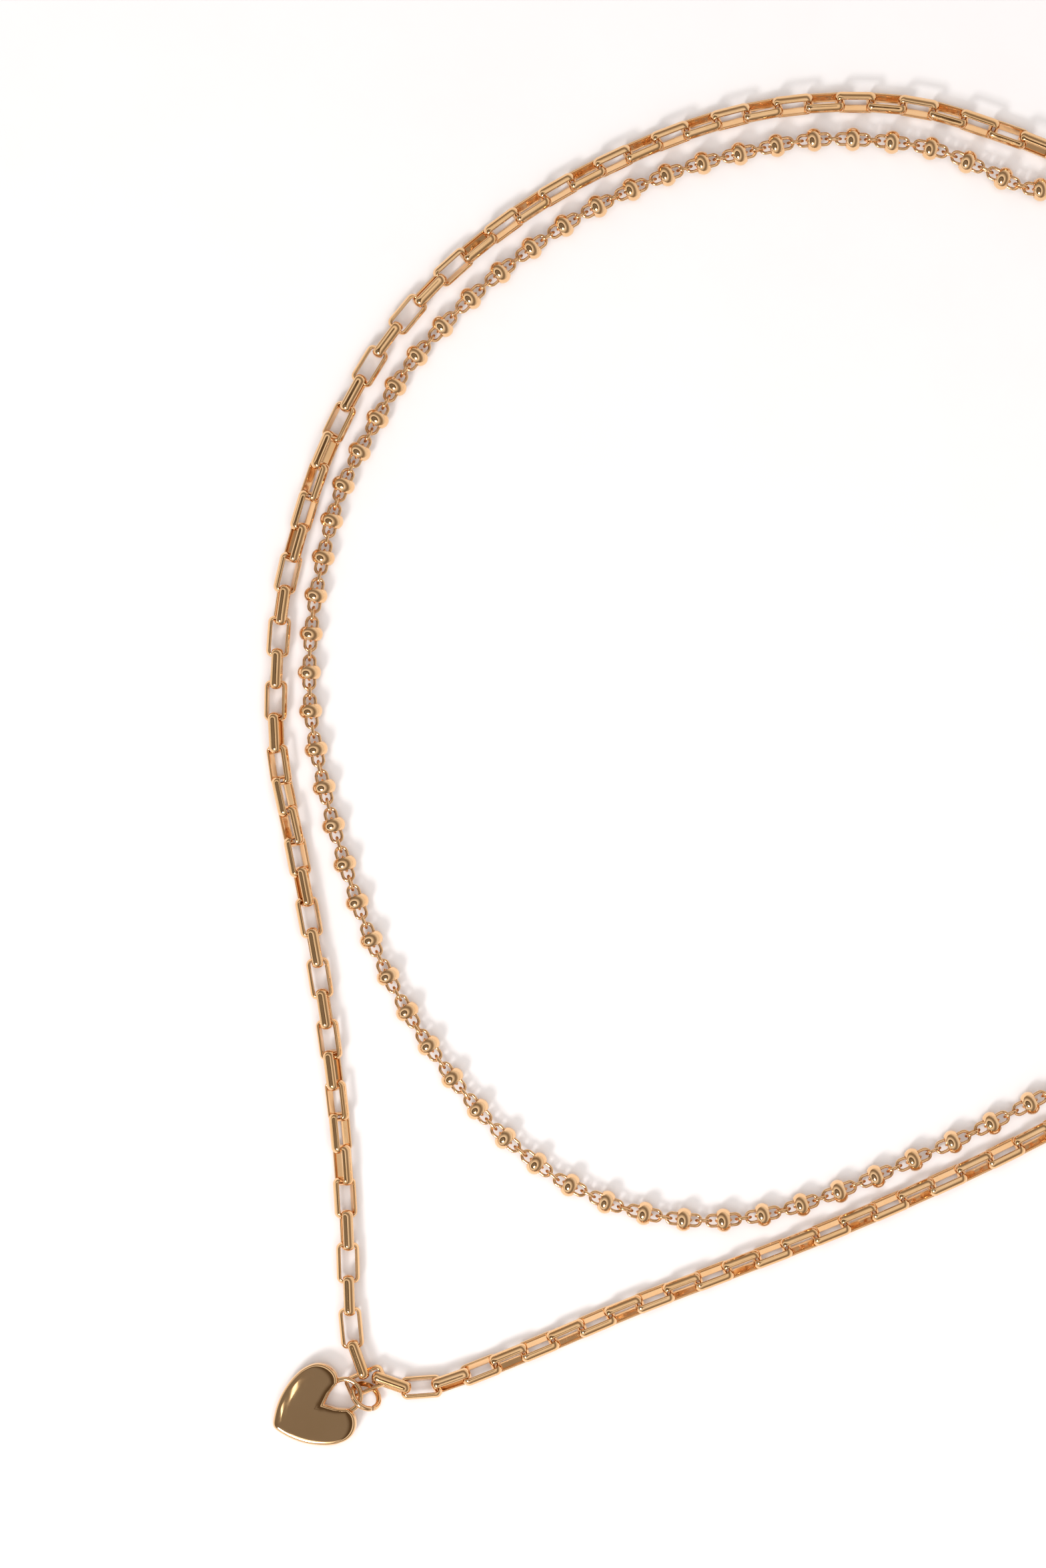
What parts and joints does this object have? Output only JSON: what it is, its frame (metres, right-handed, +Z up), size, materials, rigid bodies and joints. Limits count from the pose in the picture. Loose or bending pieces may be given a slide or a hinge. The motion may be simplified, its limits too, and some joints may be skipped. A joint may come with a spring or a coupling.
{
  "type": "pendant necklace",
  "caption": "Two-strand necklace of box links and threaded rondelle beads on round cable links, with a heart lock pendant on a jump ring and a spring ring clasp.",
  "frame": {"origin": "centre of the whole laid-out necklace's outline, on the flat surface that it lies on", "axes": "+Y from the pendant to the clasp, +Z up from the surface, +X to the right seen from above"},
  "size_m": [0.1329, 0.184, 0.0032],
  "materials": {
    "box_links": "polished gold plate",
    "cable_links": "polished gold plate",
    "beads": "polished gold plate",
    "pendant": "polished gold plate, faint hairlines",
    "rings": "polished gold plate",
    "clasp": "polished gold plate",
    "spring": "spring wire"
  },
  "bodies": {
    "root": {"center_link": "box_links", "long_left_0": "box_links", "long_right_0": "box_links"},
    "left_panel_1": {"long_left_1": "box_links", "cable_left_1": "cable_links", "beads_left_1": "beads"},
    "left_panel_2": {"long_left_2": "box_links", "cable_left_2": "cable_links", "beads_left_2": "beads"},
    "left_panel_3": {"long_left_3": "box_links", "cable_left_3": "cable_links", "beads_left_3": "beads"},
    "left_panel_4": {"long_left_4": "box_links", "cable_left_4": "cable_links", "beads_left_4": "beads"},
    "left_panel_5": {"long_left_5": "box_links", "cable_left_5": "cable_links", "beads_left_5": "beads"},
    "left_panel_6": {"long_left_6": "box_links", "cable_left_6": "cable_links", "beads_left_6": "beads", "left_end_ring": "rings", "left_clasp_link": "rings"},
    "right_panel_1": {"long_right_1": "box_links", "cable_right_1": "cable_links", "beads_right_1": "beads"},
    "right_panel_2": {"long_right_2": "box_links", "cable_right_2": "cable_links", "beads_right_2": "beads"},
    "right_panel_3": {"long_right_3": "box_links", "cable_right_3": "cable_links", "beads_right_3": "beads"},
    "right_panel_4": {"long_right_4": "box_links", "cable_right_4": "cable_links", "beads_right_4": "beads"},
    "right_panel_5": {"long_right_5": "box_links", "cable_right_5": "cable_links", "beads_right_5": "beads"},
    "right_panel_6": {"long_right_6": "box_links", "cable_right_6": "cable_links", "beads_right_6": "beads", "right_end_ring": "rings", "right_clasp_link": "rings"},
    "jump_ring": {"jump_ring": "rings"},
    "heart": {"heart_plate": "pendant", "heart_bail": "pendant"},
    "clasp": {"clasp_tube": "clasp", "clasp_spring": "spring"},
    "bolt": {"clasp_bolt": "clasp", "clasp_trigger": "clasp"}
  },
  "joints": [
    {"name": "fold_left_1", "type": "hinge", "parent": "root", "child": "left_panel_1", "pos_m": [0, -0.0555, 0.0015], "axis": [1, 0, 0], "range_deg": [0, 15]},
    {"name": "fold_left_2", "type": "hinge", "parent": "left_panel_1", "child": "left_panel_2", "pos_m": [0, -0.025, 0.0015], "axis": [1, 0, 0], "range_deg": [0, 15]},
    {"name": "fold_left_3", "type": "hinge", "parent": "left_panel_2", "child": "left_panel_3", "pos_m": [0, 0.002, 0.0015], "axis": [1, 0, 0], "range_deg": [0, 15]},
    {"name": "fold_left_4", "type": "hinge", "parent": "left_panel_3", "child": "left_panel_4", "pos_m": [0, 0.0285, 0.0015], "axis": [1, 0, 0], "range_deg": [0, 15]},
    {"name": "fold_left_5", "type": "hinge", "parent": "left_panel_4", "child": "left_panel_5", "pos_m": [0, 0.051, 0.0015], "axis": [1, 0, 0], "range_deg": [0, 15]},
    {"name": "fold_left_6", "type": "hinge", "parent": "left_panel_5", "child": "left_panel_6", "pos_m": [0, 0.075, 0.0015], "axis": [1, 0, 0], "range_deg": [0, 15]},
    {"name": "fold_right_1", "type": "hinge", "parent": "root", "child": "right_panel_1", "pos_m": [0, -0.0555, 0.0015], "axis": [1, 0, 0], "range_deg": [0, 15]},
    {"name": "fold_right_2", "type": "hinge", "parent": "right_panel_1", "child": "right_panel_2", "pos_m": [0, -0.025, 0.0015], "axis": [1, 0, 0], "range_deg": [0, 15]},
    {"name": "fold_right_3", "type": "hinge", "parent": "right_panel_2", "child": "right_panel_3", "pos_m": [0, 0.002, 0.0015], "axis": [1, 0, 0], "range_deg": [0, 15]},
    {"name": "fold_right_4", "type": "hinge", "parent": "right_panel_3", "child": "right_panel_4", "pos_m": [0, 0.0285, 0.0015], "axis": [1, 0, 0], "range_deg": [0, 15]},
    {"name": "fold_right_5", "type": "hinge", "parent": "right_panel_4", "child": "right_panel_5", "pos_m": [0, 0.051, 0.0015], "axis": [1, 0, 0], "range_deg": [0, 15]},
    {"name": "fold_right_6", "type": "hinge", "parent": "right_panel_5", "child": "right_panel_6", "pos_m": [0, 0.075, 0.0015], "axis": [1, 0, 0], "range_deg": [0, 15]},
    {"name": "jump_ring_swing", "type": "hinge", "parent": "root", "child": "jump_ring", "pos_m": [-0.00013, -0.08155, 0.00133], "axis": [-0.8954, 0.3636, 0.2571], "range_deg": [0, 20]},
    {"name": "pendant_swing", "type": "hinge", "parent": "jump_ring", "child": "heart", "pos_m": [-0.00063, -0.081, 0.00316], "axis": [-0.0815, 0.8309, 0.5505], "range_deg": [0, 40]},
    {"name": "clasp_roll", "type": "hinge", "parent": "left_panel_6", "child": "clasp", "pos_m": [0.00315, 0.089, 0.0016], "axis": [1, 0, 0], "range_deg": [-20, 20]},
    {"name": "bolt_slide", "type": "hinge", "parent": "clasp", "child": "bolt", "pos_m": [0.00827, 0.089, 0.0016], "axis": [0, 0, 1], "range_deg": [0, 50], "stiffness_Nm_per_rad": 0.0004, "springref_deg": -28.65}
  ],
  "couplings": [
    {"joint": "fold_right_1", "follows": "fold_left_1", "ratio": 1},
    {"joint": "fold_right_2", "follows": "fold_left_2", "ratio": 1},
    {"joint": "fold_right_3", "follows": "fold_left_3", "ratio": 1},
    {"joint": "fold_right_4", "follows": "fold_left_4", "ratio": 1},
    {"joint": "fold_right_5", "follows": "fold_left_5", "ratio": 1},
    {"joint": "fold_right_6", "follows": "fold_left_6", "ratio": 1}
  ]
}
